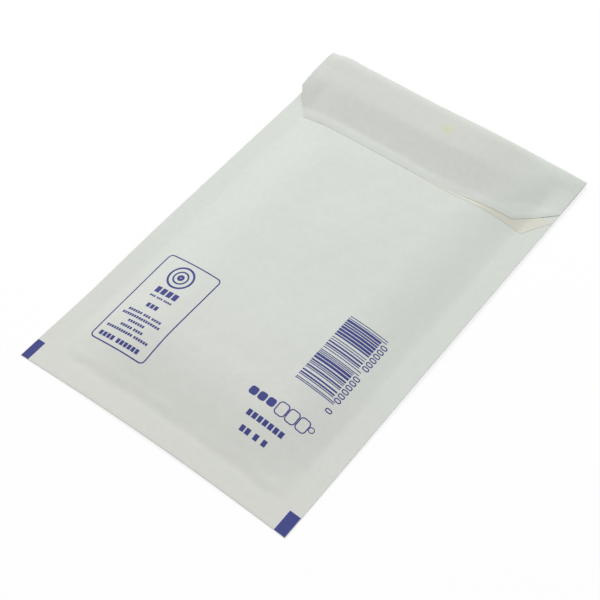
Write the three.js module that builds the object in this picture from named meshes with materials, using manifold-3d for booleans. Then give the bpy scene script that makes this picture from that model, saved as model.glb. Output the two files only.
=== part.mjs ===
// Bubble-lined paper mailer: empty, lying face up, its flap folded loosely over the front.
// Millimetres. +X runs across the mailer, +Y from the bottom fold to the flap's roll, +Z up.
// The origin is the middle of the footprint, on the surface that the mailer lies on.
import * as THREE from "three";
import { mergeVertices } from "three/addons/utils/BufferGeometryUtils.js";
import Module from "manifold-3d";

// Overall size of the folded mailer
const mailerWidth = 140;
const frontLength = 209; // from the bottom fold to the mouth of the front panel
const rollOverhang = 13; // from that mouth to the back of the flap's roll
const mailerLength = frontLength + rollOverhang;

// Materials' thicknesses, and the bond line left between two layers
const paperThickness = 0.15;
const filmThickness = 0.12;
const bondGap = 0.1;

// Side seams, the unpadded band along the bottom fold, and the swell from them to full height
const seamWidth = 10;
const seamHeight = 1.2; // middle of the side seams above the surface
const bottomBand = 10.8;
const swellWidth = 24;
const crownRise = 0.3; // how far the middle of the front stands above the full-height part's sides

// Bubble film: the bubbles face the paper and the smooth side faces the pocket
const bubbleDiameter = 10;
const bubbleTopDiameter = 7.8;
const bubbleHeight = 2.7; // at full height: the swell squeezes those near the seams
const bubblePitch = 13.4;
const bubbleMargin = 4; // between the outermost bubbles and the welds, the fold and the mouth
const pocketGap = 0.2; // between the two smooth sides, at the edge of the full-height part
const liningSetback = 2; // the film stops this far inside the mouth of the front panel

// Flap: a soft roll at the mouth, a slope, and a flat band that rests on the front
const rollDepth = 8; // half of the roll's length along Y
const rollHeightLeft = 9.2;
const rollHeightRight = 8.3; // less the part that it is pressed down by there
const flapReach = 43.5; // from the back of the roll to the free edge
const creaseReach = 14; // from the back of the roll to the crease at the head of the slope
const creaseDrop = 0.35;
const flatBand = 15; // the straight band along the free edge
const chamferAcross = 12;
const chamferAlong = 15;
const restGap = 0.25; // between the liner and the top of the front panel
const sideDroop = 0.6; // how far the flap's sides hang below its middle
const pressedRight = 1.6; // how much lower still the roll and the flap lie at their right ends

// Closure: a band of adhesive inside the flap, and the liner that covers it
const adhesiveWidth = 10;
const adhesiveThickness = 0.15;
const adhesiveSetback = 2.5; // from the flap's free edge
const adhesiveEndGap = 2; // from the flap's slanted ends
const linerWidth = 14;
const linerThickness = 0.1;
const linerPeekLeft = -0.8; // how far the liner stands past the free edge at its left end
const linerPeekRight = 2.6; // and at its right end, where it slipped askew
const linerSlip = 3.5; // how far its slanted right end stands past the flap's
const linerSideInset = 0.8; // from the mailer's right side to the liner's far corner

// How finely the curves are divided
const swellSteps = 5;
const crownSteps = 2;
const panelSteps = 2;
const foldSteps = 4;
const rollSteps = 10;
const slopeSteps = 4;
const bubbleSides = 6;

// Places worked out from the sizes above
const bottomY = -mailerLength / 2;
const halfWidth = mailerWidth / 2;
const seamInnerX = halfWidth - seamWidth;
const fullX = seamInnerX - swellWidth;
const mouthY = bottomY + frontLength;
const liningMouthY = mouthY - liningSetback;
const liningFoldY = bottomY + bottomBand;
const pocketFoldY = liningFoldY + filmThickness;
const fullY = pocketFoldY + swellWidth;
const halfSeam = filmThickness + bondGap + paperThickness / 2; // seam's middle to the paper's middle
const backFilmTop = paperThickness + bondGap + bubbleHeight + filmThickness;
const frontFilmBottom = backFilmTop + pocketGap;
const frontMiddle =
  frontFilmBottom + filmThickness + bubbleHeight + bondGap + paperThickness / 2;
const frontCrownTop = frontMiddle + crownRise + paperThickness / 2;
const flapRest =
  frontCrownTop + restGap + linerThickness + bondGap +
  adhesiveThickness + bondGap + paperThickness / 2;
const rollBackY = mailerLength / 2 - paperThickness / 2;
const freeEdgeY = rollBackY - flapReach;

// Equal steps from one value to another, both ends included.
function steps(from, to, count) {
  return Array.from({ length: count + 1 }, (_, k) => from + ((to - from) * k) / count);
}

const swellRight = steps(fullX, seamInnerX, swellSteps);
const columns = [
  -halfWidth,
  ...swellRight.map((x) => -x).reverse(),
  ...steps(-fullX, fullX, crownSteps).slice(1, -1),
  ...swellRight,
  halfWidth,
];
const swellRows = steps(pocketFoldY, fullY, swellSteps);

// A quarter wave: it leaves the seam at an angle and ends level.
const swellCurve = (share) => Math.sin((Math.PI / 2) * THREE.MathUtils.clamp(share, 0, 1));

// Which step a value falls in, and its share of that step. Past either end it stays at the end.
function stepOf(stations, at) {
  const last = stations.length - 2;
  const before = stations.findLastIndex((station) => station <= at);
  const k = THREE.MathUtils.clamp(before, 0, last);
  const share = (at - stations[k]) / (stations[k + 1] - stations[k]);
  return [k, THREE.MathUtils.clamp(share, 0, 1)];
}

// Reads a grid of values on the triangles that the sheets are made of, so that layers keep
// their distances between the grid's stations too. The front's cells are halved one way and
// the back's the other way, as the paper runs down the front and up the back.
function readOnTriangles(valueAt, x, y, onFront) {
  const [i, across] = stepOf(columns, x);
  const [j, up] = stepOf(swellRows, y);
  const [near, far] = onFront ? [j + 1, j] : [j, j + 1];
  const along = onFront ? 1 - up : up;
  const start = valueAt(i, near);
  const end = valueAt(i + 1, far);
  const side = across > along ? valueAt(i + 1, near) : valueAt(i, far);
  const [first, second] = across > along ? [across, along] : [along, across];
  return start + first * (side - start) + second * (end - side);
}

const acrossSwell = columns.map((x) => swellCurve((seamInnerX - Math.abs(x)) / swellWidth));
const acrossCrown = columns.map((x) => crownRise * Math.max(0, 1 - (x / fullX) ** 2));
const alongSwell = swellRows.map((y) => swellCurve((y - pocketFoldY) / swellWidth));

// Heights of the layers at a place. All of them meet the flat stack of the seams at the edges.
const swell = (x, y, onFront) =>
  readOnTriangles((i, j) => acrossSwell[i] * alongSwell[j], x, y, onFront);
const crown = (x, y) =>
  readOnTriangles((i, j) => acrossCrown[i] * alongSwell[j], x, y, true);
const frontPaperZ = (x, y) =>
  THREE.MathUtils.lerp(seamHeight + halfSeam, frontMiddle, swell(x, y, true)) + crown(x, y);
const backPaperZ = (x, y) =>
  THREE.MathUtils.lerp(seamHeight - halfSeam, paperThickness / 2, swell(x, y, false));
const frontFilmZ = (x, y) =>
  THREE.MathUtils.lerp(seamHeight, frontFilmBottom, swell(x, y, true)) + crown(x, y);
const backFilmZ = (x, y) => THREE.MathUtils.lerp(seamHeight, backFilmTop, swell(x, y, false));
const sideShare = (x) => Math.max(0, x - fullX) / (halfWidth - fullX);
const pressed = (x) => pressedRight * sideShare(x) ** 2;
const flapZ = (x) => flapRest - sideDroop * sideShare(Math.abs(x)) ** 2 - pressed(x);
const rollTopZ = (x) =>
  THREE.MathUtils.lerp(rollHeightLeft, rollHeightRight, (x + halfWidth) / mailerWidth) -
  pressed(x) - paperThickness / 2;

// Half of the flap's width at a place along it: its two free corners are cut off at a slant.
function flapHalfWidth(y) {
  const fromFreeEdge = y - freeEdgeY;
  if (fromFreeEdge >= chamferAlong) return halfWidth;
  return halfWidth - chamferAcross * (1 - fromFreeEdge / chamferAlong);
}

// The middle of the paper at one column, from the mouth of the front panel down it, round the
// bottom fold, up the back panel, round the roll and down to the flap's free edge.
function paperLine(x) {
  const line = [];
  const add = (y, z) => line.push(new THREE.Vector3(x, y, z));
  const addFlap = (y, drop, headZ) => {
    const flapX = (x * flapHalfWidth(y)) / halfWidth;
    const z = THREE.MathUtils.lerp(headZ, flapZ(flapX), drop);
    line.push(new THREE.Vector3(flapX, y, z));
  };
  const foldCentreY = bottomY + halfSeam + paperThickness / 2;
  const panelRows = [foldCentreY, liningFoldY, ...swellRows];

  steps(mouthY, fullY, panelSteps).slice(0, -1).forEach((y) => add(y, frontPaperZ(x, y)));
  panelRows.slice().reverse().forEach((y) => add(y, frontPaperZ(x, y)));
  steps(Math.PI / 2, (3 * Math.PI) / 2, foldSteps).slice(1, -1).forEach((angle) =>
    add(foldCentreY + halfSeam * Math.cos(angle), seamHeight + halfSeam * Math.sin(angle)));
  panelRows.forEach((y) => add(y, backPaperZ(x, y)));

  const rollCentreY = rollBackY - rollDepth;
  const low = backPaperZ(x, mouthY);
  const high = rollTopZ(x);
  steps(fullY, rollCentreY, panelSteps).slice(1, -1).forEach((y) => add(y, backPaperZ(x, y)));
  steps(-Math.PI / 2, Math.PI / 2, rollSteps).forEach((angle) =>
    add(rollCentreY + rollDepth * Math.cos(angle),
      (low + high) / 2 + ((high - low) / 2) * Math.sin(angle)));

  const creaseY = rollBackY - creaseReach;
  const flatY = freeEdgeY + flatBand;
  steps(0, 1, slopeSteps).forEach((share) => {
    const drop = (1 - Math.cos(Math.PI * share)) / 2;
    addFlap(THREE.MathUtils.lerp(creaseY, flatY, share), drop, high - creaseDrop);
  });
  addFlap(freeEdgeY, 1, high);
  return line;
}

// Triangles gathered as loose points, three to a triangle, seen anticlockwise from outside.
class Skin {
  constructor() {
    this.points = [];
  }
  face(...corners) {
    for (let k = 1; k < corners.length - 1; k++)
      this.points.push(corners[0], corners[k], corners[k + 1]);
  }
  geometry() {
    const loose = new THREE.BufferGeometry().setFromPoints(this.points);
    return mergeVertices(loose, 1e-4);
  }
}

// A sheet of one thickness about a grid of middle points, rows[j][i].
function sheetGeometry(rows, thickness) {
  const lastRow = rows.length - 1;
  const lastColumn = rows[0].length - 1;
  const normalAt = (j, i) => {
    const along = rows[Math.min(j + 1, lastRow)][i].clone().sub(rows[Math.max(j - 1, 0)][i]);
    const across = rows[j][Math.min(i + 1, lastColumn)].clone().sub(rows[j][Math.max(i - 1, 0)]);
    return along.cross(across).normalize();
  };
  const offset = (distance) =>
    rows.map((row, j) => row.map((p, i) => p.clone().addScaledVector(normalAt(j, i), distance)));
  const outer = offset(thickness / 2);
  const inner = offset(-thickness / 2);
  const skin = new Skin();
  for (let j = 0; j < lastRow; j++) {
    for (let i = 0; i < lastColumn; i++) {
      skin.face(outer[j][i], outer[j + 1][i], outer[j + 1][i + 1], outer[j][i + 1]);
      skin.face(inner[j][i], inner[j][i + 1], inner[j + 1][i + 1], inner[j + 1][i]);
    }
    skin.face(outer[j + 1][0], outer[j][0], inner[j][0], inner[j + 1][0]);
    skin.face(outer[j][lastColumn], outer[j + 1][lastColumn],
      inner[j + 1][lastColumn], inner[j][lastColumn]);
  }
  for (let i = 0; i < lastColumn; i++) {
    skin.face(outer[0][i], outer[0][i + 1], inner[0][i + 1], inner[0][i]);
    skin.face(outer[lastRow][i + 1], outer[lastRow][i], inner[lastRow][i], inner[lastRow][i + 1]);
  }
  return skin.geometry();
}

function outerPaper() {
  const lines = columns.map(paperLine);
  const rows = lines[0].map((_, j) => lines.map((line) => line[j]));
  return sheetGeometry(rows, paperThickness);
}

// The film without its bubbles: folded at the bottom, welded flat along both side seams and
// open at the mouth. The pocket's walls meet where the welds and the fold begin.
function filmPocket() {
  const rowsY = [liningFoldY, ...swellRows, ...steps(fullY, liningMouthY, panelSteps).slice(1)];
  const surface = (height) =>
    rowsY.map((y) => columns.map((x) => new THREE.Vector3(x, y, height(x, y))));
  const frontOut = surface((x, y) => frontFilmZ(x, y) + filmThickness);
  const frontIn = surface(frontFilmZ);
  const backIn = surface(backFilmZ);
  const backOut = surface((x, y) => backFilmZ(x, y) - filmThickness);
  const lastRow = rowsY.length - 1;
  const lastColumn = columns.length - 1;
  const skin = new Skin();
  for (let i = 0; i < lastColumn; i++) {
    const inPocket = i > 0 && i < lastColumn - 1;
    for (let j = 0; j < lastRow; j++) {
      skin.face(frontOut[j][i + 1], frontOut[j + 1][i + 1], frontOut[j + 1][i], frontOut[j][i]);
      skin.face(backOut[j][i], backOut[j + 1][i], backOut[j + 1][i + 1], backOut[j][i + 1]);
      if (!inPocket || j === 0) continue;
      skin.face(frontIn[j + 1][i], frontIn[j + 1][i + 1], frontIn[j][i + 1], frontIn[j][i]);
      skin.face(backIn[j][i], backIn[j][i + 1], backIn[j + 1][i + 1], backIn[j + 1][i]);
    }
    skin.face(backOut[0][i], backOut[0][i + 1], frontOut[0][i + 1], frontOut[0][i]);
    const [fo, fi, bi, bo] = [frontOut, frontIn, backIn, backOut].map((s) => s[lastRow]);
    if (inPocket) {
      skin.face(fo[i], fo[i + 1], fi[i + 1], fi[i]);
      skin.face(bi[i], bi[i + 1], bo[i + 1], bo[i]);
    } else if (i === 0) {
      skin.face(bo[i], fo[i], fo[i + 1], fi[i + 1], bo[i + 1]);
    } else {
      skin.face(fo[i + 1], bo[i + 1], bo[i], fi[i], fo[i]);
    }
  }
  for (let j = 0; j < lastRow; j++) {
    skin.face(frontOut[j][0], frontOut[j + 1][0], backOut[j + 1][0], backOut[j][0]);
    skin.face(frontOut[j + 1][lastColumn], frontOut[j][lastColumn],
      backOut[j][lastColumn], backOut[j + 1][lastColumn]);
  }
  return skin.geometry();
}

// Centres of the bubbles, in staggered rows over the part of the panel that they fill.
function bubbleCentres() {
  const rowPitch = bubblePitch * Math.sin(Math.PI / 3);
  const inset = bubbleDiameter / 2 + bubbleMargin;
  const reachX = seamInnerX - inset;
  const firstY = pocketFoldY + inset;
  const lastY = liningMouthY - inset;
  const rowCount = Math.floor((lastY - firstY) / rowPitch) + 1;
  const centres = [];
  for (let row = 0; row < rowCount; row++) {
    const shift = (row % 2) / 2;
    const half = Math.floor(reachX / bubblePitch - shift + 1e-6);
    for (let k = -half - 2 * shift; k <= half; k++)
      centres.push([(k + shift) * bubblePitch, firstY + row * rowPitch]);
  }
  return centres;
}

// Bubbles on one side of the pocket, each from inside the film to just short of the paper.
// The air that the real film seals into a bubble is part of its solid here.
function bubbles(filmZ, paperZ, facing) {
  const skin = new Skin();
  const rootDepth = filmThickness / 2;
  const ring = (cx, cy, radius, height) =>
    steps(0, 2 * Math.PI, bubbleSides).slice(0, -1).map((angle) => {
      const x = cx + radius * Math.cos(angle);
      const y = cy + radius * Math.sin(angle);
      return new THREE.Vector3(x, y, height(x, y));
    });
  const rootZ = (x, y) => filmZ(x, y) + facing * (filmThickness - rootDepth);
  const topZ = (x, y) => paperZ(x, y) - facing * (paperThickness / 2 + bondGap);
  for (const [cx, cy] of bubbleCentres()) {
    const root = ring(cx, cy, bubbleDiameter / 2, rootZ);
    const top = ring(cx, cy, bubbleTopDiameter / 2, topZ);
    const rootCentre = new THREE.Vector3(cx, cy, rootZ(cx, cy));
    if (facing < 0) [root, top].forEach((loop) => loop.reverse());
    skin.face(...top);
    for (let k = 0; k < bubbleSides; k++) {
      const next = (k + 1) % bubbleSides;
      skin.face(root[k], root[next], top[next], top[k]);
      skin.face(root[next], root[k], rootCentre);
    }
  }
  return skin.geometry();
}

const wasm = await Module();
wasm.setup();

function solidOf(geometry) {
  return new wasm.Manifold(
    new wasm.Mesh({
      numProp: 3,
      vertProperties: new Float32Array(geometry.attributes.position.array),
      triVerts: new Uint32Array(geometry.index.array),
    }),
  );
}

function geometryOf(solid) {
  const mesh = solid.getMesh();
  return new THREE.BufferGeometry()
    .setAttribute("position", new THREE.BufferAttribute(mesh.vertProperties, 3))
    .setIndex(new THREE.BufferAttribute(mesh.triVerts, 1));
}

function bubbleLining() {
  const frontBubbles = solidOf(bubbles(frontFilmZ, frontPaperZ, 1));
  const backBubbles = solidOf(bubbles(backFilmZ, backPaperZ, -1));
  return geometryOf(solidOf(filmPocket()).add(frontBubbles).add(backBubbles));
}

// A band under the flap's straight part, parallel to it, from the outline's two long edges.
// Each edge runs from its left end to its right end.
function bandUnderFlap(lowEdge, highEdge, depthBelowFlap, thickness) {
  const rows = [highEdge, lowEdge].map(([leftEnd, rightEnd]) =>
    columns.map((column) => {
      const share = (column + halfWidth) / mailerWidth;
      const x = THREE.MathUtils.lerp(leftEnd[0], rightEnd[0], share);
      const y = THREE.MathUtils.lerp(leftEnd[1], rightEnd[1], share);
      return new THREE.Vector3(x, y, flapZ(x) - depthBelowFlap - thickness / 2);
    }));
  return sheetGeometry(rows, thickness);
}

const adhesiveDepth = paperThickness / 2 + bondGap;
const linerDepth = adhesiveDepth + adhesiveThickness + bondGap;

function adhesiveStrip() {
  const lowY = freeEdgeY + adhesiveSetback;
  const highY = lowY + adhesiveWidth;
  const lowX = flapHalfWidth(lowY) - adhesiveEndGap;
  const highX = flapHalfWidth(highY) - adhesiveEndGap;
  return bandUnderFlap([[-lowX, lowY], [lowX, lowY]], [[-highX, highY], [highX, highY]],
    adhesiveDepth, adhesiveThickness);
}

// The liner was cut with the flap, slanted ends included. It slipped a little askew, so its
// lower edge and its right end show past the flap's.
function releaseLiner() {
  const leftLowY = freeEdgeY - linerPeekLeft;
  const rightLowY = freeEdgeY - linerPeekRight;
  const leftHighY = leftLowY + linerWidth;
  const rightHighY = rightLowY + linerWidth;
  const lowEdge = [
    [-flapHalfWidth(leftLowY), leftLowY],
    [flapHalfWidth(freeEdgeY) + linerSlip, rightLowY],
  ];
  const highEdge = [
    [-flapHalfWidth(leftHighY), leftHighY],
    [halfWidth - linerSideInset, rightHighY],
  ];
  return bandUnderFlap(lowEdge, highEdge, linerDepth, linerThickness);
}

// Finishes
const whitePaper = new THREE.MeshStandardMaterial({ color: 0xd8dcd6, roughness: 0.85, metalness: 0 });
const clearFilm = new THREE.MeshStandardMaterial({ color: 0xe9edf0, roughness: 0.3, metalness: 0 });
const hotMelt = new THREE.MeshStandardMaterial({ color: 0xd9c98e, roughness: 0.4, metalness: 0 });
const creamLiner = new THREE.MeshStandardMaterial({ color: 0xded8b8, roughness: 0.55, metalness: 0 });

function piece(name, geometry, material) {
  const mesh = new THREE.Mesh(geometry, material);
  mesh.name = name;
  return mesh;
}

const mailer = new THREE.Group();
mailer.name = "padded_mailer";
mailer.add(
  piece("outer_paper", outerPaper(), whitePaper),
  piece("bubble_lining", bubbleLining(), clearFilm),
  piece("adhesive_strip", adhesiveStrip(), hotMelt),
  piece("release_liner", releaseLiner(), creamLiner),
);

export default mailer;
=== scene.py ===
"""Looks of the bubble-lined paper mailer: paper with a soft swell, its lining, closure and print.

Sizes are in millimetres until a mesh is made. X runs across, Y from the bottom fold to the
flap's roll and Z up, as in the CAD part.
"""
import math

import bpy
import numpy as np
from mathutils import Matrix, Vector, noise


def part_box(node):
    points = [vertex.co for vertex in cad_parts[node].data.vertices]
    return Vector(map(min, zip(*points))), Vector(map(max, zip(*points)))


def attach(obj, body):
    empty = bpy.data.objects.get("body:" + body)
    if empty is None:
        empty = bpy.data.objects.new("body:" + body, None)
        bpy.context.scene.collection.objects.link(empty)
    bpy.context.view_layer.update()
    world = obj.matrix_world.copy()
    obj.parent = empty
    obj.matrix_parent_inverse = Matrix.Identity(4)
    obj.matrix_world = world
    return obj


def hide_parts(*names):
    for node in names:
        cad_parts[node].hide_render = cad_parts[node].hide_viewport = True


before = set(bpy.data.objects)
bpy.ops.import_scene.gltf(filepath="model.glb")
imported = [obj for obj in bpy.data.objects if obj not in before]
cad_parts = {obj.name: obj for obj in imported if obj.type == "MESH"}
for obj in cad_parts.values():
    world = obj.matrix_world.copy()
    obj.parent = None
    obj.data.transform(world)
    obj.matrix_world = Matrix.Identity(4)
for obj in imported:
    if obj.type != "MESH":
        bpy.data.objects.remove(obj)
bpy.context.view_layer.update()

MM = 0.001


def box_mm(node):
    """Lowest and highest corner of a CAD node in millimetres."""
    low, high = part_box(node)
    return np.array(low) / MM, np.array(high) / MM


# Places read from the frame
PAPER_LOW, PAPER_HIGH = box_mm("outer_paper")
LINING_LOW, LINING_HIGH = box_mm("bubble_lining")
ADHESIVE_LOW, ADHESIVE_HIGH = box_mm("adhesive_strip")
HALF_WIDTH = (PAPER_HIGH[0] - PAPER_LOW[0]) / 2
BOTTOM_Y = PAPER_LOW[1]
BACK_Y = PAPER_HIGH[1]
ROLL_LEFT_Z = PAPER_HIGH[2]
LINING_FOLD_Y = LINING_LOW[1]
LINING_MOUTH_Y = LINING_HIGH[1]
FILM_SETBACK = 2.0  # the film stops this far inside the paper's mouth
MOUTH_Y = LINING_MOUTH_Y + FILM_SETBACK

# Layers
PAPER = 0.11
FILM = 0.12
SLACK = 0.01  # left between layers that touch
HALF_PAPER = PAPER / 2
HALF_SEAM = FILM + SLACK + HALF_PAPER

# Swell of the panels: where it begins, and over what lengths it rises to its full height
SEAM_X = 60.0
SEAM_STRAY = (0.6, 30.0)  # how far the inner line of a side seam strays, over what length
SEAM_STRAY_APART = 40.0  # gives each side its own line
FOLD_STRAY = (0.7, 22.0)  # the same for the line at the bottom
FOLD_INSET = 0.2
BOTTOM_SWELL = 35.0
LEFT_SWELL = 29.0
RIGHT_SWELL = 30.0
LEFT_MOUTH_SWELL = 10.0
RIGHT_MOUTH_SWELL = 20.0
MOUTH_SWELL_Y = (MOUTH_Y - 45.0, MOUTH_Y - 15.0)  # where the swell turns into the mouth's
SWELL_POWER = 1.2
FRONT_MIDDLE_Z = 6.27
CROWN_RISE = 0.35
CROWN_HALF_WIDTH = 36.0

# The flat edges: how far their middles rise from the surface and are drawn in
LEFT_RISE = 2.6
RIGHT_RISE = 1.3
SIDE_RISE_LENGTH = 95.0
BOTTOM_RISE = 0.8
BOTTOM_RISE_POWER = 1.3
LIP_DROP = 0.4  # how far the edges hang below the inner lines of the seams
LEFT_PULL = 1.4
LOW_PULL_SHARE = 0.35  # of that pull at the bottom
PULL_LENGTH = 50.0
PULL_END_Y = (MOUTH_Y - 25.0, MOUTH_Y)
BOTTOM_PULL = 0.5
BOTTOM_BOW = 1.5
BOTTOM_PULL_LENGTH = 80.0

# Unevenness of the front: height or depth, and size
WAVES = (0.22, 38.0)
RIPPLES = (0.05, 11.0)
OPEN_Y = 14.0  # how far before the flap the panel's waves begin to fade
OPEN_LENGTH = 16.0  # and over what length they do
PANEL_SINK = 0.5  # how far the flap presses the panel down
CORNER_CREASE = (24.0, 12.0)  # its place from the lower left corner
CORNER_CREASE_SLOPE = 0.5
CORNER_CREASE_LENGTH = 3.5
CORNER_CREASE_WIDTH = 0.8
CORNER_CREASE_DEPTH = 0.15
FOLD_GROOVE = (0.1, 1.2)  # along the lining's fold
FOLD_RIDGE = (0.16, 1.8)  # beside it
FOLD_RIDGE_AWAY = 4.5
FOLD_RIDGE_STRAY = (0.8, 14.0)
FOLD_RIDGE_X = (SEAM_X + 2.0, SEAM_X - 10.0)  # where both begin and are full
FOLD_RIDGE_SHARE = 0.7  # of their height that they have along the fold on average
FOLD_RIDGE_CHANGE = (0.6, 20.0)
FOLD_RIDGE_MOST = 1.4

# Lining
BUBBLE_PITCH = 13.4
BUBBLE_RADIUS = 5.0
BUBBLE_MARGIN = 4.0
BUBBLE_PROFILE = [  # radius and height of each ring as shares, from the film to the top
    (1.0, 0.0), (1.0, 0.35), (0.97, 0.62), (0.86, 0.86), (0.62, 0.97), (0.3, 1.0)]
BUBBLE_SHOW = 0.05  # how far a bubble shows through the paper
BUBBLE_SHOW_RADII = (1.3 * BUBBLE_RADIUS, 0.6 * BUBBLE_RADIUS)  # where that begins and is full
BUBBLE_GAP = 5 * SLACK  # from a bubble's top to the paper
POCKET_GAP = 0.2

# Roll of the flap
ROLL_MIDDLE_Z = 9.6
ROLL_MIDDLE_X = 25.0
ROLL_RIGHT_Z = 1.95
ROLL_DEPTH = 7.8
ROLL_TO_SLOPE = 6.0  # how far from the roll the flap's slope sets in fully
ROLL_UNEVEN = (0.1, 30.0)  # of its top
ROLL_SLACK = (0.2, 35.0)  # of its depth
PRESS_X = 14.0  # where the roll begins to be pressed flatter
ROLL_END_LESS = 1.5  # how much less deep the roll's left end is
ROLL_END_LENGTH = 7.0
ROLL_END_DROP = ROLL_END_LESS / 2
ROLL_END_DROP_LENGTH = 4.0

# Flap
FREE_EDGE_Y = BACK_Y - 43.6
CREASE_Y = BACK_Y - 22.0
CREASE_SOFTNESS = 0.06  # as a share of the slope's length
CREASE_END_SOFTNESS = 0.4  # and what is added to that at both ends
SLOPE_POWER = 1.15
FLAT_BAND = 5.0  # the strip along the free edge that lies on the panel, at the left
MIDDLE_FLAT_BAND = 1.5  # the same where the edge bends least
MIDDLE_BAND_X = (-10.0, 40.0)
RIGHT_FLAT_BAND = 16.0  # and at the right end, which is pressed flat
RIGHT_END_X = (38.0, 64.0)
RIGHT_CREASE_SHIFT = 11.0  # how much nearer the roll the crease runs out at the right
RIGHT_SHIFT = 5.9  # how much further back the roll and the flap lie at the right
RIGHT_SHIFT_X = -10.0
RIGHT_SHIFT_POWER = 2.2
RIGHT_EDGE_SHIFT = 2.6  # and how much more the free edge
RIGHT_EDGE_SHIFT_X = (15.0, 60.0)
STACK = 0.36  # from the panel's middle to the flap's, with adhesive and liner between them
LEFT_EDGE_STACK = PAPER + SLACK  # the same at the flap's edges, past the adhesive
RIGHT_EDGE_STACK = 0.22  # and where the liner shows past the edge
LINER_SHOWS_X = (25.0, 33.0)
EDGE_CURL = 2.4  # how far in from the edges the flap bends down to that
STIFF_LEFT = 0.06  # how much of the panel's fall to its left side the stiff flap does not follow
STIFF_RIGHT = 0.02
LEFT_CHAMFER_ACROSS = 12.0
RIGHT_CHAMFER_ACROSS = 15.5
CHAMFER_ALONG = 15.0

# Closure, under the flap: each edge's left and right end
ADHESIVE = 0.1
ADHESIVE_DEPTH = HALF_PAPER + 2 * SLACK  # from the flap's middle
ADHESIVE_LOW_EDGE = [(-58.0, ADHESIVE_LOW[1]), (54.0, ADHESIVE_LOW[1])]
ADHESIVE_HIGH_EDGE = [(-64.0, ADHESIVE_HIGH[1]), (62.0, ADHESIVE_HIGH[1])]
LINER = 0.08
LINER_LOW_EDGE = [(-56.5, FREE_EDGE_Y + 1.2), (62.0, FREE_EDGE_Y - 4.6)]
LINER_HIGH_EDGE = [(-68.0, FREE_EDGE_Y + 14.5), (69.8, FREE_EDGE_Y + 8.5)]
LINER_BEND = 2.5  # 1 is straight

# Print, in places on the flat front measured from its lower left corner: left, right, low, high
INK_HEIGHT = 0.03
INK_STEP = 1.6
LEFT_EYE_MARK = (0.15, 4.0, 0.15, 10.4)
RIGHT_EYE_MARK = (134.5, 139.85, 0.15, 10.4)
LABEL_FRAME = (16.4, 45.55, 24.2, 76.6)
LABEL_FRAME_RADIUS = 2.0
LABEL_FRAME_LINE = 0.6
LABEL_RING = (29.8, 67.7)
LABEL_RING_LINES = [(5.9, 1.0), (3.4, 0.8), (1.0, 1.4)]  # radius and line of each ring
BLOCK_SHARE = 0.76  # width of a block as a share of its pitch
GROUP_GAP_SHARE = 0.55
LABEL_LINES = [  # left, y, height of a block, its pitch, counts of blocks with gaps between
    (24.4, 57.7, 3.4, 3.2, [4]),
    (24.3, 53.8, 1.0, 1.1, [3, 3, 4]),
    (27.0, 48.7, 2.3, 2.2, [3]),
    (21.4, 43.4, 1.25, 1.3, [6, 3, 4]),
    (20.2, 40.9, 1.25, 1.3, [16]),
    (25.9, 38.1, 1.25, 1.3, [7]),
    (24.2, 35.1, 1.25, 1.3, [5, 4]),
    (19.0, 32.3, 1.25, 1.3, [11, 6]),
    (19.0, 27.6, 2.3, 2.1, [4, 6]),
]
BAR_COUNT = 30
BAR_SEED = 8
BAR_STEPS = [1, 1, 2, 2, 3]  # widths of bars and gaps that are drawn from
BARS_X = (100.5, 118.0)
GUARD_BARS_X = 120.0
BARS_Y = (57.0, 95.7)
DIGITS_X = (118.9, 121.6)
DIGIT_PITCH = 2.6
DIGIT_HALF_HEIGHT = 0.75
DIGIT_RADIUS = 0.7
DIGIT_LINE = 0.5
DIGIT_PLACES = [53.6] + [start + DIGIT_PITCH * k for start in (59.6, 79.0) for k in range(6)]
MIDDLE_BLOCKS = [(89.5 + 4.5 * k, 93.3 + 4.5 * k, 39.4, 43.4) for k in range(3)]
MIDDLE_BLOCK_RADIUS = 1.2
MIDDLE_RINGS = [(103.4 + 5.3 * k, 108.1 + 5.3 * k, 38.4, 44.6) for k in range(3)]
MIDDLE_RING_RADIUS = 1.5
MIDDLE_RING_LINE = 0.5
MIDDLE_SPOT = (120.2, 42.2, 1.2)  # x, y, radius
MIDDLE_SPOT_LINE = 0.4
MIDDLE_LINES = [
    (95.0, 32.6, 2.8, 2.7, [7]),
    (96.9, 25.6, 2.8, 2.7, [2, 1, 1]),
]

# Colours of the finishes on a screen, 0 to 255, each with the darker or other one beside it
PAPER_COLOURS = [(217, 221, 215), (206, 212, 205)]
FILM_COLOURS = [(240, 244, 246), (232, 238, 242)]
FILM_CLEARNESS = 0.6
INK_COLOURS = [(60, 65, 128), (68, 73, 136)]
INK_SHINE = 0.15
MELT_COLOURS = [(226, 215, 170), (214, 200, 150)]
LINER_COLOURS = [(209, 209, 196), (203, 203, 189)]

# Tints of the paper, and shares of the first on the flap: partly the grey of a single layer with no
# lining behind it, partly painted shade that darkens the slope below the crease
SINGLE_LAYER_AND_SHADE_TINT = (0.925, 0.9, 0.9, 1.0)
ROLL_SHARE = 0.85
EDGE_SHARE = 0.35  # where adhesive and liner lie behind
CREASE_TONE_Y = (CREASE_Y + 1.5, CREASE_Y - 1.5)  # from the roll's share to all of it: the slope below the crease gets painted shade
EDGE_TONE_Y = (FREE_EDGE_Y + 7.0, FREE_EDGE_Y + 4.0)  # and to the edge's share
LEFT_TONE_X = (-35.0, -55.0)  # where that turns into the roll's share towards the left
PRESSED_TONE_X = (32.0, 56.0)  # where it fades out, painted shade and all: the flap is pressed onto the panel, and its slope there takes its shade from the lamp
WARM_TINT = (1.015, 0.978, 0.98, 1.0)  # of the paper near its bottom
WARM_Y = (BOTTOM_Y + 90.0, BOTTOM_Y + 15.0)
GLUE_TINT = (1.0, 0.97, 0.6, 1.0)
GLUE_SPOT = (4.4, 96.8, 9.4)
GLUE_SPOT_RADIUS = 3.9
GLUE_SPOT_CORE = 0.3 * GLUE_SPOT_RADIUS
GLUE_GRAIN = 2.2

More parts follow.
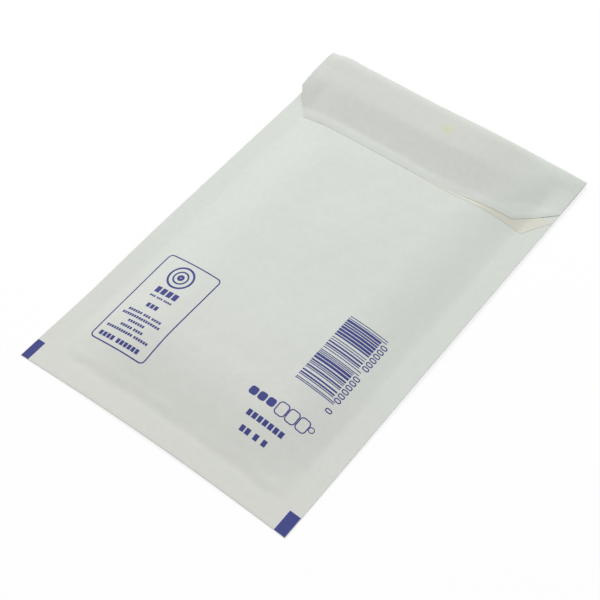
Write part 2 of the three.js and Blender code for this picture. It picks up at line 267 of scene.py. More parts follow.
# Relief of every finish
GRAIN_SIZE = 0.35
GRAIN_HEIGHT = 0.05
SHARP_ANGLE = 50.0  # edges that turn more than this many degrees stay sharp

# Light: the world and the key lamp together light a level surface at about 1
WHITE = (1.0, 1.0, 1.0, 1.0)
WORLD_LIGHT = 0.5
KEY_PLACE = (-1.5, 1.5, 2.1)  # metres
KEY_SIZE = 1.5
KEY_WATTS = 64.0
FLOOR_REACH = 3.0
FLOOR_GLOW = 0.8  # how much of the floor's own white covers the shadow on it

# Camera, worked out from the photo's outline; metres
CAMERA_PLACE = (0.22373, -0.30321, 0.47852)
CAMERA_AIM = (-0.3648, 0.4767, -0.7998)
CAMERA_LENS = 83.35
CAMERA_SENSOR = 36.0
CAMERA_CLIP = (0.01, 20.0)

# How finely the pieces are divided
COLUMNS = 120
FRONT_ROWS = 170
FOLD_ROWS = 8
BACK_ROWS = 90
ROLL_ROWS = 28
FLAP_ROWS = 44
FILM_COLUMNS = 70
FILM_ROWS = 90
BUBBLE_SIDES = 20
BAND_COLUMNS = 140
BAND_ROWS = 24
CORNER_POINTS = 7
BLOCK_CORNER_POINTS = 6

# Where each kind of unevenness is read in the noise
SEEDS = {"seam": 3.0, "fold": 5.0, "ridge": 6.0, "patches": 7.0, "waves": 11.0, "ripples": 12.0,
         "roll": 21.0, "slack": 41.0}


def smooth(share):
    """A soft step from 0 to 1."""
    share = np.clip(share, 0.0, 1.0)
    return share * share * (3.0 - 2.0 * share)


def ramp(value, start, end):
    """A soft step from 0 at the start to 1 at the end, which may be the lower of the two."""
    return smooth((value - start) / (end - start))


def hump(away, width):
    """1 in the middle, falling off softly to both sides."""
    return np.exp(-((away / width) ** 2))


def wander(x, y, size, kind):
    """Smooth random values of about -1 to 1 that change over the given distance."""
    x, y = np.broadcast_arrays(np.asarray(x, float), np.asarray(y, float))
    values = [
        noise.noise(Vector((a / size, b / size, SEEDS[kind])))
        for a, b in zip(x.ravel(), y.ravel())
    ]
    return 2.0 * np.array(values).reshape(x.shape)


def uneven(x, y, amount, kind):
    """An unevenness of the given height and size."""
    height, size = amount
    return height * wander(x, y, size, kind)


def bubble_show(x, y):
    """1 over the middle of a bubble and 0 between them."""
    row_pitch = BUBBLE_PITCH * math.sin(math.pi / 3)
    row = np.round((y - BOTTOM_Y) / row_pitch)
    best = np.full(np.shape(x), np.inf)
    for step in (-1, 0, 1):
        centre_y = BOTTOM_Y + (row + step) * row_pitch
        shift = np.mod(row + step, 2) / 2
        centre_x = (np.round(x / BUBBLE_PITCH - shift) + shift) * BUBBLE_PITCH
        best = np.minimum(best, np.hypot(x - centre_x, y - centre_y))
    return ramp(best, *BUBBLE_SHOW_RADII)


def swell(x, y):
    """How far the panel has risen from its seams: 0 at them, 1 at full height."""
    seam = SEAM_X + uneven(np.sign(x) * SEAM_STRAY_APART, y, SEAM_STRAY, "seam")
    at_mouth = ramp(y, *MOUTH_SWELL_Y)
    left = LEFT_SWELL + (LEFT_MOUTH_SWELL - LEFT_SWELL) * at_mouth
    right = RIGHT_SWELL + (RIGHT_MOUTH_SWELL - RIGHT_SWELL) * at_mouth
    width = np.where(x < 0, left, right)
    fold = LINING_FOLD_Y + FOLD_INSET + uneven(x, 0.0, FOLD_STRAY, "fold")
    across = np.sin(np.pi / 2 * np.clip((seam - np.abs(x)) / width, 0.0, 1.0))
    along = np.sin(np.pi / 2 * np.clip((y - fold) / BOTTOM_SWELL, 0.0, 1.0))
    return (across * along) ** SWELL_POWER


def seam_z(x, y):
    """Height of the flat stack at the seams: its corners lie on the surface."""
    to_side = np.maximum(HALF_WIDTH - np.abs(x), 0.0) + SLACK
    to_bottom = np.maximum(y - BOTTOM_Y, 0.0) + SLACK
    side = np.where(x < 0, LEFT_RISE, RIGHT_RISE) * smooth((y - BOTTOM_Y) / SIDE_RISE_LENGTH)
    from_middle = np.clip(x / HALF_WIDTH, -1, 1)
    bottom = BOTTOM_RISE * (1.0 - from_middle ** 2) ** BOTTOM_RISE_POWER
    share = to_bottom / (to_bottom + to_side)
    rise = side * share + bottom * (1.0 - share)
    past_seam = np.clip((np.abs(x) - SEAM_X) / (HALF_WIDTH - SEAM_X), 0.0, 1.0)
    past_fold = np.clip((LINING_FOLD_Y - y) / (LINING_FOLD_Y - BOTTOM_Y), 0.0, 1.0)
    lip = LIP_DROP * np.maximum(past_seam, past_fold) * np.clip(rise, 0.0, 1.0)
    return HALF_SEAM + PAPER + rise - lip


def settled(x, y):
    """Where a place on the flat mailer comes to lie: the swell draws the edges' middles in."""
    share = x / HALF_WIDTH
    up = LOW_PULL_SHARE + (1.0 - LOW_PULL_SHARE) * smooth((y - BOTTOM_Y) / PULL_LENGTH)
    side = np.where(x < 0, LEFT_PULL, 0.0) * up * (1.0 - ramp(y, *PULL_END_Y))
    fade = 1.0 - smooth((y - BOTTOM_Y) / BOTTOM_PULL_LENGTH)
    bottom = BOTTOM_PULL - BOTTOM_BOW * share ** 2
    return x - side * share * np.abs(share), y + bottom * fade


def crown_z(x):
    """How far the panel's middle stands above the height that it reaches at its sides."""
    return CROWN_RISE * np.clip(1.0 - (x / CROWN_HALF_WIDTH) ** 2, 0.0, 1.0)


def fold_ridge(x, y):
    """Height of the uneven groove and ridge where the lining's fold shows through."""
    groove_depth, groove_width = FOLD_GROOVE
    ridge_height, ridge_width = FOLD_RIDGE
    away = y - LINING_FOLD_Y - uneven(x, 0.0, FOLD_RIDGE_STRAY, "ridge")
    ridge = ridge_height * hump(away - FOLD_RIDGE_AWAY, ridge_width)
    groove = groove_depth * hump(away, groove_width)
    patchy = FOLD_RIDGE_SHARE + uneven(x, 0.0, FOLD_RIDGE_CHANGE, "patches")
    patchy = np.clip(patchy, 0.0, FOLD_RIDGE_MOST)
    return (ridge - groove) * ramp(np.abs(x), *FOLD_RIDGE_X) * patchy


def front_z(x, y):
    """Middle of the front panel's paper."""
    x, y = np.broadcast_arrays(np.asarray(x, float), np.asarray(y, float))
    risen = swell(x, y)
    low = seam_z(x, y) + HALF_SEAM
    z = low + (FRONT_MIDDLE_Z + crown_z(x) - low) * risen
    open_part = 1.0 - smooth((y - FREE_EDGE_Y + OPEN_Y) / OPEN_LENGTH)
    waves = uneven(x, y, WAVES, "waves") + uneven(x, y, RIPPLES, "ripples")
    z = z + risen * waves * open_part - risen * PANEL_SINK * (1.0 - open_part)
    z = z + risen * BUBBLE_SHOW * bubble_show(x, y)
    along_crease = x + HALF_WIDTH - CORNER_CREASE[0]
    off_crease = y - BOTTOM_Y - CORNER_CREASE[1] - CORNER_CREASE_SLOPE * along_crease
    crease = hump(along_crease, CORNER_CREASE_LENGTH) * hump(off_crease, CORNER_CREASE_WIDTH)
    return z - CORNER_CREASE_DEPTH * crease + fold_ridge(x, y)


def back_z(x, y):
    """Middle of the back panel's paper."""
    low = seam_z(x, y) - HALF_SEAM
    return low + (HALF_PAPER + 2 * SLACK - low) * swell(x, y)


def panel_under(x, y):
    """The front panel's height under a place on the flap or liner, with both moves undone."""
    y = y + back_shift(x, y)
    lain_x, lain_y = settled(x, y)
    return front_z(2 * x - lain_x, 2 * y - lain_y)


def roll_top_z(x):
    """Middle of the paper on top of the flap's roll, which is pressed flat at its right end."""
    from_left = np.clip((x + HALF_WIDTH) / (HALF_WIDTH + ROLL_MIDDLE_X), 0, 1)
    pressed = np.clip((x - PRESS_X) / (HALF_WIDTH - PRESS_X), 0, 1) ** 2
    top = ROLL_LEFT_Z + (ROLL_MIDDLE_Z - ROLL_LEFT_Z) * from_left
    top = top - (ROLL_MIDDLE_Z - ROLL_RIGHT_Z) * pressed - HALF_PAPER
    top = top - ROLL_END_DROP * hump(x + HALF_WIDTH, ROLL_END_DROP_LENGTH)
    return top - ROLL_UNEVEN[0] - uneven(x, 0.0, ROLL_UNEVEN, "roll")


def back_shift(x, y):
    """How much further back the roll and the flap lie where the roll is pressed flat."""
    pressed = np.clip((x - RIGHT_SHIFT_X) / (HALF_WIDTH - RIGHT_SHIFT_X), 0.0, 1.0)
    roll_y = BACK_Y - ROLL_DEPTH
    along = np.clip((roll_y - y) / (roll_y - FREE_EDGE_Y), 0.0, 1.0)
    at_edge = RIGHT_EDGE_SHIFT * ramp(x, *RIGHT_EDGE_SHIFT_X) * along
    return RIGHT_SHIFT * pressed ** RIGHT_SHIFT_POWER + at_edge


def flap_half_width(x, y):
    """From the flap's middle to its edge, at a place along it on its left or right side."""
    across = np.where(x < 0, LEFT_CHAMFER_ACROSS, RIGHT_CHAMFER_ACROSS)
    return HALF_WIDTH - across * np.clip(1.0 - (y - FREE_EDGE_Y) / CHAMFER_ALONG, 0, 1)


def flap_drop(x, y):
    """How far the flap has come down: 0 on the roll, 1 where it lies on the panel."""
    at_end = ramp(x, *RIGHT_END_X)
    band = FLAT_BAND + (MIDDLE_FLAT_BAND - FLAT_BAND) * ramp(x, *MIDDLE_BAND_X)
    band = band + (RIGHT_FLAT_BAND - band) * at_end
    crease_y = CREASE_Y + RIGHT_CREASE_SHIFT * at_end
    down = (crease_y - y) / (crease_y - FREE_EDGE_Y - band)
    soft = CREASE_SOFTNESS + CREASE_END_SOFTNESS * (x / HALF_WIDTH) ** 2
    down = (down + np.hypot(down, soft)) / (1.0 + np.hypot(1.0, soft))
    drop = 1.0 - (1.0 - np.clip(down, 0.0, 1.0)) ** SLOPE_POWER
    return drop * smooth((BACK_Y - ROLL_DEPTH - y) / ROLL_TO_SLOPE)


def flap_z(x, y):
    """Middle of the flap's paper, from the top of the roll to the free edge."""
    x, y = np.broadcast_arrays(np.asarray(x, float), np.asarray(y, float))
    from_edge = np.minimum(y - FREE_EDGE_Y, flap_half_width(x, y) - np.abs(x))
    at_edge = smooth(1.0 - from_edge / EDGE_CURL)
    edge_stack = LEFT_EDGE_STACK + (RIGHT_EDGE_STACK - LEFT_EDGE_STACK) * ramp(x, *LINER_SHOWS_X)
    panel = panel_under(x, y)
    fallen = np.clip(FRONT_MIDDLE_Z + crown_z(x) - panel, 0.0, None)
    stiff = np.where(x < 0, STIFF_LEFT, STIFF_RIGHT) * fallen
    rest = panel + (stiff + STACK) * (1.0 - at_edge) + edge_stack * at_edge
    head = roll_top_z(x)
    return head + (rest - head) * flap_drop(x, y)


def skin(outer, inner, wrap=False):
    """Points and faces of a closed skin from two grids. Wrapped, it runs round in a ring."""
    rows, columns = outer.shape[:2]
    count = rows * columns
    points = np.concatenate([outer.reshape(-1, 3), inner.reshape(-1, 3)])
    index = np.arange(count).reshape(rows, columns)
    if wrap:
        index = np.concatenate([index, index[:, :1]], 1)
    a, b, c, d = index[:-1, :-1], index[:-1, 1:], index[1:, 1:], index[1:, :-1]
    faces = [np.stack([a, d, c, b], -1).reshape(-1, 4)]
    faces.append(np.stack([a, b, c, d], -1).reshape(-1, 4) + count)
    rims = [index[0, :], index[-1, ::-1]]
    if not wrap:
        rims += [index[:, -1], index[::-1, 0]]
    for rim in rims:
        faces.append(np.stack([rim[:-1], rim[1:], rim[1:] + count, rim[:-1] + count], -1))
    return points, np.concatenate(faces)


def mesh_of(name, skins):
    """One mesh from several closed skins."""
    points, faces, count = [], [], 0
    for own_points, own_faces in skins:
        points.append(own_points)
        faces.append(own_faces + count)
        count += len(own_points)
    mesh = bpy.data.meshes.new(name)
    mesh.from_pydata(
        (np.concatenate(points) * MM).tolist(), [], np.concatenate(faces).tolist())
    return mesh


def sheet_mesh(name, middle, thickness):
    """A sheet of one thickness about a grid of middle points."""
    along = np.gradient(middle, axis=0)
    across = np.gradient(middle, axis=1)
    normal = np.cross(along, across)
    normal /= np.linalg.norm(normal, axis=2, keepdims=True)
    half = normal * thickness / 2
    return mesh_of(name, [skin(middle + half, middle - half)])


def add_piece(mesh, material, replaced=()):
    """Puts a mesh in the scene as a smooth-shaded piece of the mailer."""
    piece = bpy.data.objects.new(mesh.name, mesh)
    bpy.context.collection.objects.link(piece)
    mesh.materials.append(material)
    mesh.shade_smooth()
    mesh.set_sharp_from_angle(angle=math.radians(SHARP_ANGLE))
    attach(piece, "root")
    if replaced:
        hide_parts(*replaced)
    return piece


def paper_grid():
    """Middle of the whole sheet: front, bottom fold, back, roll and flap, as rows across."""
    x = np.linspace(-HALF_WIDTH, HALF_WIDTH, COLUMNS + 1)
    fold_y = BOTTOM_Y + HALF_SEAM + HALF_PAPER
    roll_y = BACK_Y - HALF_PAPER - ROLL_DEPTH
    rows = []
    for y in np.linspace(MOUTH_Y, fold_y, FRONT_ROWS):
        rows.append(np.stack([*settled(x, y), front_z(x, y)], -1))
    for angle in np.linspace(math.pi / 2, 3 * math.pi / 2, FOLD_ROWS + 1)[1:-1]:
        y = fold_y + HALF_SEAM * math.cos(angle)
        z = seam_z(x, fold_y) + HALF_SEAM * math.sin(angle)
        rows.append(np.stack([*settled(x, y), z], -1))
    for y in np.linspace(fold_y, roll_y, BACK_ROWS):
        rows.append(np.stack([*settled(x, y), back_z(x, y)], -1))
    low, high = back_z(x, roll_y), roll_top_z(x)
    slack = ROLL_SLACK[0] + uneven(x, 0.0, ROLL_SLACK, "slack")
    slack = slack + ROLL_END_LESS * hump(x + HALF_WIDTH, ROLL_END_LENGTH)
    for angle in np.linspace(-math.pi / 2, math.pi / 2, ROLL_ROWS)[1:]:
        y = roll_y + (ROLL_DEPTH - slack) * math.cos(angle)
        z = (low + high) / 2 + (high - low) / 2 * math.sin(angle)
        turned = (1 + math.sin(angle)) / 2
        side_x = settled(x, y)[0] * (1.0 - turned) + x * turned
        rows.append(np.stack([side_x, y + back_shift(x, y) * turned, z], -1))
    for y in np.linspace(roll_y, FREE_EDGE_Y, FLAP_ROWS)[1:]:
        flap_x = x * flap_half_width(x, y) / HALF_WIDTH
        rows.append(np.stack([flap_x, y + back_shift(flap_x, y), flap_z(flap_x, y)], -1))
    return np.array(rows)


def film_middle(x, y, side):
    """Middle of the film on the front (side 1) or the back (side -1) of the pocket."""
    pocket = (front_z(x, y) + back_z(x, y)) / 2
    return pocket + side * (FILM / 2 + POCKET_GAP / 2 * swell(x, y))


def film_grid():
    """Middle of the film, from the front's mouth round its fold at the bottom to the back's."""
    x = np.linspace(-HALF_WIDTH, HALF_WIDTH, FILM_COLUMNS + 1)
    down = np.linspace(LINING_MOUTH_Y, LINING_FOLD_Y + FILM / 2, FILM_ROWS)
    rows = []
    for side, places in ((1, down), (-1, down[::-1])):
        for y in places:
            rows.append(np.stack([*settled(x, y), film_middle(x, y, side)], -1))
    return np.array(rows)


def bubble_centres():
    """Centres of the bubbles, in staggered rows."""
    row_pitch = BUBBLE_PITCH * math.sin(math.pi / 3)
    inset = BUBBLE_RADIUS + BUBBLE_MARGIN
    half_count = math.ceil(SEAM_X / BUBBLE_PITCH)
    centres = []
    for row in range(int((LINING_MOUTH_Y - BOTTOM_Y) / row_pitch)):
        y = BOTTOM_Y + row * row_pitch
        if not LINING_FOLD_Y + inset < y < LINING_MOUTH_Y - inset:
            continue
        for column in range(-half_count, half_count + 1):
            x = (column + row % 2 / 2) * BUBBLE_PITCH
            if abs(x) < SEAM_X - inset:
                centres.append((x, y))
    return centres


def bubbles_mesh():
    """Domed bubbles on both sides of the pocket, from the film to just short of the paper."""
    turn = np.linspace(0, 2 * math.pi, BUBBLE_SIDES, endpoint=False)
    reach, rise = np.array(BUBBLE_PROFILE).T[:, :, None]
    points, faces = [], []
    for side, paper_z in ((1, front_z), (-1, back_z)):
        for x, y in bubble_centres():
            across = x + BUBBLE_RADIUS * reach * np.cos(turn)
            along = y + BUBBLE_RADIUS * reach * np.sin(turn)
            root = film_middle(across, along, side)
            top = paper_z(across, along) - side * (HALF_PAPER + BUBBLE_GAP)
            z = root + (top - root) * rise
            start = len(points)
            points.extend(np.stack([*settled(across, along), z], -1).reshape(-1, 3).tolist())
            rings = [
                [start + level * BUBBLE_SIDES + k for k in range(BUBBLE_SIDES)]
                for level in range(len(BUBBLE_PROFILE))
            ]
            made = [rings[0][::-1], rings[-1]]
            for low, high in zip(rings, rings[1:]):
                for k in range(BUBBLE_SIDES):
                    following = (k + 1) % BUBBLE_SIDES
                    made.append([low[k], low[following], high[following], high[k]])
            faces.extend(made if side > 0 else [face[::-1] for face in made])
    mesh = bpy.data.meshes.new("bubbles")
    mesh.from_pydata((np.array(points) * MM).tolist(), [], faces)
    return mesh


def between(name, low_edge, high_edge, height, thickness, bend=1.0):
    """A band between panel and flap. Its edges run from left to right end, bent if asked."""
    share = np.linspace(0.0, 1.0, BAND_COLUMNS + 1)[None, :]
    down = np.linspace(0.0, 1.0, BAND_ROWS + 1)[:, None]
    edges = []
    for (left_x, left_y), (right_x, right_y) in (high_edge, low_edge):
        edge_y = left_y + (right_y - left_y) * share ** bend
        edges.append((left_x + (right_x - left_x) * share, edge_y))
    x = edges[0][0] + (edges[1][0] - edges[0][0]) * down
    y = edges[0][1] + (edges[1][1] - edges[0][1]) * down
    return sheet_mesh(name, np.stack([x, y + back_shift(x, y), height(x, y)], -1), thickness)


def adhesive_z(x, y):
    """Middle of the adhesive, on the flap's inner side."""
    return flap_z(x, y) - ADHESIVE_DEPTH - ADHESIVE / 2


def liner_z(x, y):
    """Middle of the liner, which lies on the panel."""
    return panel_under(x, y) + HALF_PAPER + SLACK + LINER / 2


def inked(places, wrap=False):
    """A thin skin of ink over places on the flat front, measured from its lower left corner."""
    x = places[..., 0] - HALF_WIDTH
    y = places[..., 1] + BOTTOM_Y
    z = front_z(x, y) + HALF_PAPER
    top = np.stack([*settled(x, y), z + INK_HEIGHT], -1)
    return skin(top, top - (0.0, 0.0, 2 * INK_HEIGHT), wrap)


def spaced(start, end):
    """Places from start to end, no further apart than the ink's step."""
    return np.linspace(start, end, max(2, math.ceil((end - start) / INK_STEP) + 1))


def block(left, right, low, high, radius=0.0):
    """A filled rectangle, with round corners if it has a radius."""
    y = spaced(low, high)
    if radius:
        turn = np.linspace(0.0, math.pi / 2, BLOCK_CORNER_POINTS)
        curve = radius * (1.0 - np.cos(turn))
        between_corners = y[(y > low + radius) & (y < high - radius)]
        y = np.concatenate([low + curve, between_corners, (high - curve)[::-1]])
        y = np.unique(y.round(4))
    past = np.clip(radius - np.minimum(y - low, high - y), 0.0, None)
    inset = radius - np.sqrt(np.clip(radius ** 2 - past ** 2, 0.0, None))
    inset = np.minimum(inset, (right - left) / 2 - 5 * SLACK)
    share = np.linspace(0.0, 1.0, len(spaced(left, right)))
    x = (left + inset)[:, None] + (right - left - 2 * inset)[:, None] * share
    return inked(np.stack([x, np.broadcast_to(y[:, None], x.shape)], -1)[::-1])


def loop(left, right, low, high, radius, line):
    """The outline of a rectangle with round corners."""
    corners = [
        (right - radius, low + radius, -math.pi / 2),
        (right - radius, high - radius, 0.0),
        (left + radius, high - radius, math.pi / 2),
        (left + radius, low + radius, math.pi),
    ]
    middle, outward = [], []
    for k, (x, y, angle) in enumerate(corners):
        for turn in np.linspace(angle, angle + math.pi / 2, CORNER_POINTS):
            way = np.array([math.cos(turn), math.sin(turn)])
            middle.append(np.array([x, y]) + radius * way)
            outward.append(way)
        following = corners[(k + 1) % 4]
        end = np.array(following[:2]) + radius * way
        start = middle[-1]
        length = np.linalg.norm(end - start)
        steps = spaced(0.0, length)
        for share in np.linspace(0.0, 1.0, len(steps))[1:-1]:
            middle.append(start + (end - start) * share)
            outward.append(way)
    middle, outward = np.array(middle), np.array(outward)
    edges = [middle - outward * line / 2, middle + outward * line / 2]
    return inked(np.array(edges), wrap=True)


def block_line(left, y, height, pitch, counts):
    """A line of small blocks, in groups."""
    made = []
    for count in counts:
        for _ in range(count):
            made.append(block(left, left + BLOCK_SHARE * pitch, y - height / 2, y + height / 2))
            left += pitch
        left += GROUP_GAP_SHARE * pitch
    return made


def bar_pattern():
    """Parallel bars of random widths, longer at both ends and in the middle."""
    draw = np.random.default_rng(BAR_SEED)
    steps = draw.choice(BAR_STEPS, 2 * BAR_COUNT - 1).astype(float)
    guards = (0, 1, BAR_COUNT // 2 - 1, BAR_COUNT // 2, BAR_COUNT - 2, BAR_COUNT - 1)
    for bar in guards:
        steps[2 * bar] = 1.0
    places = np.concatenate([[0.0], np.cumsum(steps)]) / steps.sum()
    low, high = BARS_Y
    made = []
    for bar in range(BAR_COUNT):
        start, end = low + (high - low) * places[2 * bar:2 * bar + 2]
        right = GUARD_BARS_X if bar in guards else BARS_X[1]
        made.append(block(BARS_X[0], right, start, end))
    return made


def ring(x, y, radius, line):
    """A round loop about a place."""
    return loop(x - radius, x + radius, y - radius, y + radius, radius, line)


def print_mesh():
    """Everything printed on the front."""
    marks = [block(*LEFT_EYE_MARK), block(*RIGHT_EYE_MARK)]
    marks.append(loop(*LABEL_FRAME, LABEL_FRAME_RADIUS, LABEL_FRAME_LINE))
    marks += [ring(*LABEL_RING, radius, line) for radius, line in LABEL_RING_LINES]
    for line in LABEL_LINES:
        marks += block_line(*line)
    marks += bar_pattern()
    for y in DIGIT_PLACES:
        low, high = y - DIGIT_HALF_HEIGHT, y + DIGIT_HALF_HEIGHT
        marks.append(loop(*DIGITS_X, low, high, DIGIT_RADIUS, DIGIT_LINE))
    marks += [block(*place, MIDDLE_BLOCK_RADIUS) for place in MIDDLE_BLOCKS]
    marks += [loop(*place, MIDDLE_RING_RADIUS, MIDDLE_RING_LINE) for place in MIDDLE_RINGS]
    marks.append(ring(*MIDDLE_SPOT, MIDDLE_SPOT_LINE))
    for line in MIDDLE_LINES:
        marks += block_line(*line)
    return mesh_of("printed_marks", marks)


def linear(red, green, blue):
    """Blender's linear colour for a screen colour of 0 to 255."""
    def one(value):
        share = value / 255
        return share / 12.92 if share <= 0.04045 else ((share + 0.055) / 1.055) ** 2.4

    return (one(red), one(green), one(blue), 1.0)


def node(tree, kind, **settings):
    """A shader node with the given settings and input values."""
    made = tree.nodes.new(kind)
    for name, value in settings.items():
        if name in made.inputs:
            made.inputs[name].default_value = value
        else:
            setattr(made, name, value)
    return made


def shader_of(material):
    """A material's main shader."""
    return material.node_tree.nodes["Principled BSDF"]


def tinted(tree, colour, share, tint):
    """A colour, multiplied by a tint in the places that the share picks out."""
    mix = node(tree, "ShaderNodeMix", data_type="RGBA", blend_type="MULTIPLY")
    tree.links.new(share, mix.inputs["Factor"])
    tree.links.new(colour, mix.inputs["A"])
    mix.inputs["B"].default_value = tint
    return mix.outputs["Result"]


def seen_white(tree):
    """1 for what the camera sees itself, in a gloss or through film, and 0 for what gives light."""
    path = node(tree, "ShaderNodeLightPath")
    seen = path.outputs["Is Camera Ray"]
    for ray in ("Is Glossy Ray", "Is Transmission Ray"):
        either = node(tree, "ShaderNodeMath", operation="MAXIMUM")
        tree.links.new(seen, either.inputs[0])
        tree.links.new(path.outputs[ray], either.inputs[1])
        seen = either.outputs["Value"]
    return seen


def mottled(name, colours, roughness, size, bump):
    """A finish that varies a little from place to place, with a fine relief."""
    material = bpy.data.materials.new(name)
    material.use_nodes = True
    tree = material.node_tree
    shader = shader_of(material)
    shader.inputs["Roughness"].default_value = roughness
    place = node(tree, "ShaderNodeTexCoord")
    clouds = node(tree, "ShaderNodeTexNoise", Scale=1.0 / (size * MM), Detail=4.0, Roughness=0.6)
    mix = node(tree, "ShaderNodeMix", data_type="RGBA")
    grain = node(tree, "ShaderNodeTexNoise", Scale=1.0 / (GRAIN_SIZE * MM), Detail=3.0)
    relief = node(tree, "ShaderNodeBump", Strength=bump, Distance=GRAIN_HEIGHT * MM)
    tree.links.new(place.outputs["Object"], clouds.inputs["Vector"])
    tree.links.new(place.outputs["Object"], grain.inputs["Vector"])
    tree.links.new(clouds.outputs["Fac"], mix.inputs["Factor"])
    mix.inputs["A"].default_value = linear(*colours[1])
    mix.inputs["B"].default_value = linear(*colours[0])
    tree.links.new(mix.outputs["Result"], shader.inputs["Base Color"])
    tree.links.new(grain.outputs["Fac"], relief.inputs["Height"])
    tree.links.new(relief.outputs["Normal"], shader.inputs["Normal"])
    return material


def paper_material():
    """White paper: greyer on the flap, partly as a single layer with no lining behind it and partly
    as painted shade on its slope; warmer near the bottom; glue on the roll.
    """
    material = mottled("white paper", PAPER_COLOURS, roughness=0.82, size=3.0, bump=0.25)
    tree = material.node_tree
    base = shader_of(material).inputs["Base Color"]
    place = node(tree, "ShaderNodeTexCoord").outputs["Object"]
    # the flap's grey: partly a single layer with little behind it, partly painted shade on its
    # slope
    layer_and_shade = node(tree, "ShaderNodeAttribute", attribute_name="single_layer_and_shade")
    colour = tinted(tree, base.links[0].from_socket, layer_and_shade.outputs["Fac"], SINGLE_LAYER_AND_SHADE_TINT)

    parts = node(tree, "ShaderNodeSeparateXYZ")
    low_down = node(tree, "ShaderNodeMapRange")
    low_down.inputs["From Min"].default_value = MM * WARM_Y[0]
    low_down.inputs["From Max"].default_value = MM * WARM_Y[1]
    tree.links.new(place, parts.inputs["Vector"])
    tree.links.new(parts.outputs["Y"], low_down.inputs["Value"])
    colour = tinted(tree, colour, low_down.outputs["Result"], WARM_TINT)

    away = node(tree, "ShaderNodeVectorMath", operation="DISTANCE")
    away.inputs[1].default_value = tuple(MM * value for value in GLUE_SPOT)
    patchy = node(tree, "ShaderNodeTexNoise", Scale=1.0 / (GLUE_GRAIN * MM), Detail=2.0)
    fading = node(tree, "ShaderNodeMapRange")
    fading.inputs["From Min"].default_value = GLUE_SPOT_RADIUS * MM
    fading.inputs["From Max"].default_value = GLUE_SPOT_CORE * MM
    smear = node(tree, "ShaderNodeMath", operation="MULTIPLY")
    tree.links.new(place, away.inputs[0])
    tree.links.new(place, patchy.inputs["Vector"])
    tree.links.new(away.outputs["Value"], fading.inputs["Value"])
    tree.links.new(fading.outputs["Result"], smear.inputs[0])
    tree.links.new(patchy.outputs["Fac"], smear.inputs[1])
    colour = tinted(tree, colour, smear.outputs["Value"], GLUE_TINT)
    tree.links.new(colour, base)
    return material


def single_layer_and_shade_tone(mesh, first_row):
    """Marks, from a row on, how grey the flap's paper is: partly because little lies behind it and
    light goes through it there, partly as painted shade on its slope.
    """
    grid = np.array([vertex.co for vertex in mesh.vertices]) / MM
    grid = grid.reshape(2, -1, COLUMNS + 1, 3)
    x, y = grid[..., 0], grid[..., 1]
    y = y - back_shift(x, y)
    # the roll keeps a share of the tint; the slope below the crease gets all of it as painted shade
    share = ROLL_SHARE + (1.0 - ROLL_SHARE) * ramp(y, *CREASE_TONE_Y)
    edge_share = EDGE_SHARE + (ROLL_SHARE - EDGE_SHARE) * ramp(x, *LEFT_TONE_X)
    share = share + (edge_share - share) * ramp(y, *EDGE_TONE_Y)
    share = share * (1.0 - ramp(x, *PRESSED_TONE_X))
    share[:, :first_row] = 0.0
    mark = mesh.attributes.new("single_layer_and_shade", "FLOAT", "POINT")
    mark.data.foreach_set("value", share.ravel())


def add_paper():
    """The whole outer sheet."""
    mesh = sheet_mesh("paper", paper_grid(), PAPER)
    roll_row = FRONT_ROWS + FOLD_ROWS - 1 + BACK_ROWS
    single_layer_and_shade_tone(mesh, roll_row)
    add_piece(mesh, paper_material(), ["outer_paper"])


def add_lining():
    """The film pocket and its bubbles."""
    finish = mottled("clear film", FILM_COLOURS, roughness=0.22, size=5.0, bump=0.1)
    shader_of(finish).inputs["Transmission Weight"].default_value = FILM_CLEARNESS
    mesh = sheet_mesh("bubble_film", film_grid(), FILM)
    add_piece(mesh, finish, ["bubble_lining"])
    add_piece(bubbles_mesh(), finish)


def add_print():
    """The ink on the front."""
    finish = mottled("print ink", INK_COLOURS, roughness=0.6, size=1.5, bump=0.1)
    shader_of(finish).inputs["Specular IOR Level"].default_value = INK_SHINE
    add_piece(print_mesh(), finish)


def add_closure():
    """The adhesive under the flap and the liner that covers it."""
    finish = mottled("hot melt", MELT_COLOURS, roughness=0.35, size=2.0, bump=0.3)
    mesh = between("adhesive_band", ADHESIVE_LOW_EDGE, ADHESIVE_HIGH_EDGE, adhesive_z, ADHESIVE)
    add_piece(mesh, finish, ["adhesive_strip"])
    finish = mottled("cream liner", LINER_COLOURS, roughness=0.5, size=6.0, bump=0.1)
    mesh = between("liner", LINER_LOW_EDGE, LINER_HIGH_EDGE, liner_z, LINER, LINER_BEND)
    add_piece(mesh, finish, ["release_liner"])


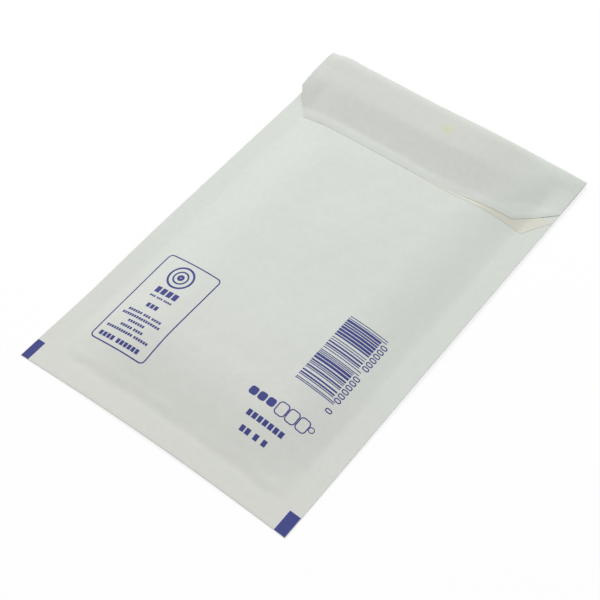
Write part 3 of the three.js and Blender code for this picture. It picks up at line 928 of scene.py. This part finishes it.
def add_floor():
    """A pale floor that keeps a soft shadow."""
    mesh = bpy.data.meshes.new("floor")
    corners = [(-FLOOR_REACH, -FLOOR_REACH, 0), (FLOOR_REACH, -FLOOR_REACH, 0),
               (FLOOR_REACH, FLOOR_REACH, 0), (-FLOOR_REACH, FLOOR_REACH, 0)]
    mesh.from_pydata(corners, [], [(0, 1, 2, 3)])
    floor = bpy.data.objects.new("floor", mesh)
    bpy.context.collection.objects.link(floor)
    finish = bpy.data.materials.new("pale floor")
    finish.use_nodes = True
    tree = finish.node_tree
    shader = shader_of(finish)
    shader.inputs["Base Color"].default_value = WHITE
    shader.inputs["Roughness"].default_value = 0.9
    shader.inputs["Specular IOR Level"].default_value = 0.0
    glow = node(tree, "ShaderNodeEmission", Color=WHITE, Strength=1.0)
    glow_share = node(tree, "ShaderNodeMath", operation="MULTIPLY")
    glow_share.inputs[1].default_value = FLOOR_GLOW
    shared = node(tree, "ShaderNodeMixShader")
    tree.links.new(seen_white(tree), glow_share.inputs[0])
    tree.links.new(glow_share.outputs["Value"], shared.inputs["Fac"])
    tree.links.new(shader.outputs["BSDF"], shared.inputs[1])
    tree.links.new(glow.outputs["Emission"], shared.inputs[2])
    tree.links.new(shared.outputs["Shader"], tree.nodes["Material Output"].inputs["Surface"])
    mesh.materials.append(finish)


def set_world():
    """Even light from all round, in front of a white backdrop."""
    world = bpy.data.worlds.new("studio")
    world.use_nodes = True
    sky = world.node_tree
    lighting = sky.nodes["Background"]
    lighting.inputs["Color"].default_value = WHITE
    lighting.inputs["Strength"].default_value = WORLD_LIGHT
    backdrop = node(sky, "ShaderNodeBackground", Color=WHITE, Strength=1.0)
    chosen = node(sky, "ShaderNodeMixShader")
    sky.links.new(seen_white(sky), chosen.inputs["Fac"])
    sky.links.new(lighting.outputs["Background"], chosen.inputs[1])
    sky.links.new(backdrop.outputs["Background"], chosen.inputs[2])
    sky.links.new(chosen.outputs["Shader"], sky.nodes["World Output"].inputs["Surface"])
    bpy.context.scene.world = world


def aim(thing, place, way):
    """Puts a lamp or a camera in its place, looking the given way."""
    thing.location = place
    thing.rotation_mode = "QUATERNION"
    thing.rotation_quaternion = way.to_track_quat("-Z", "Y")
    bpy.context.collection.objects.link(thing)


def add_key_light():
    """One large soft lamp behind the mailer's left, aimed at its middle."""
    light = bpy.data.lights.new("key", "AREA")
    light.shape = "DISK"
    light.size = KEY_SIZE
    light.energy = KEY_WATTS
    aim(bpy.data.objects.new("key", light), KEY_PLACE, -Vector(KEY_PLACE))


def add_camera():
    """The camera at the photo's angle."""
    data = bpy.data.cameras.new("camera")
    data.lens = CAMERA_LENS
    data.sensor_width = CAMERA_SENSOR
    data.clip_start, data.clip_end = CAMERA_CLIP
    camera = bpy.data.objects.new("camera", data)
    aim(camera, CAMERA_PLACE, Vector(CAMERA_AIM))
    bpy.context.scene.camera = camera


add_paper()
add_lining()
add_print()
add_closure()
add_floor()
set_world()
add_key_light()
add_camera()
bpy.context.scene.view_settings.view_transform = "Standard"
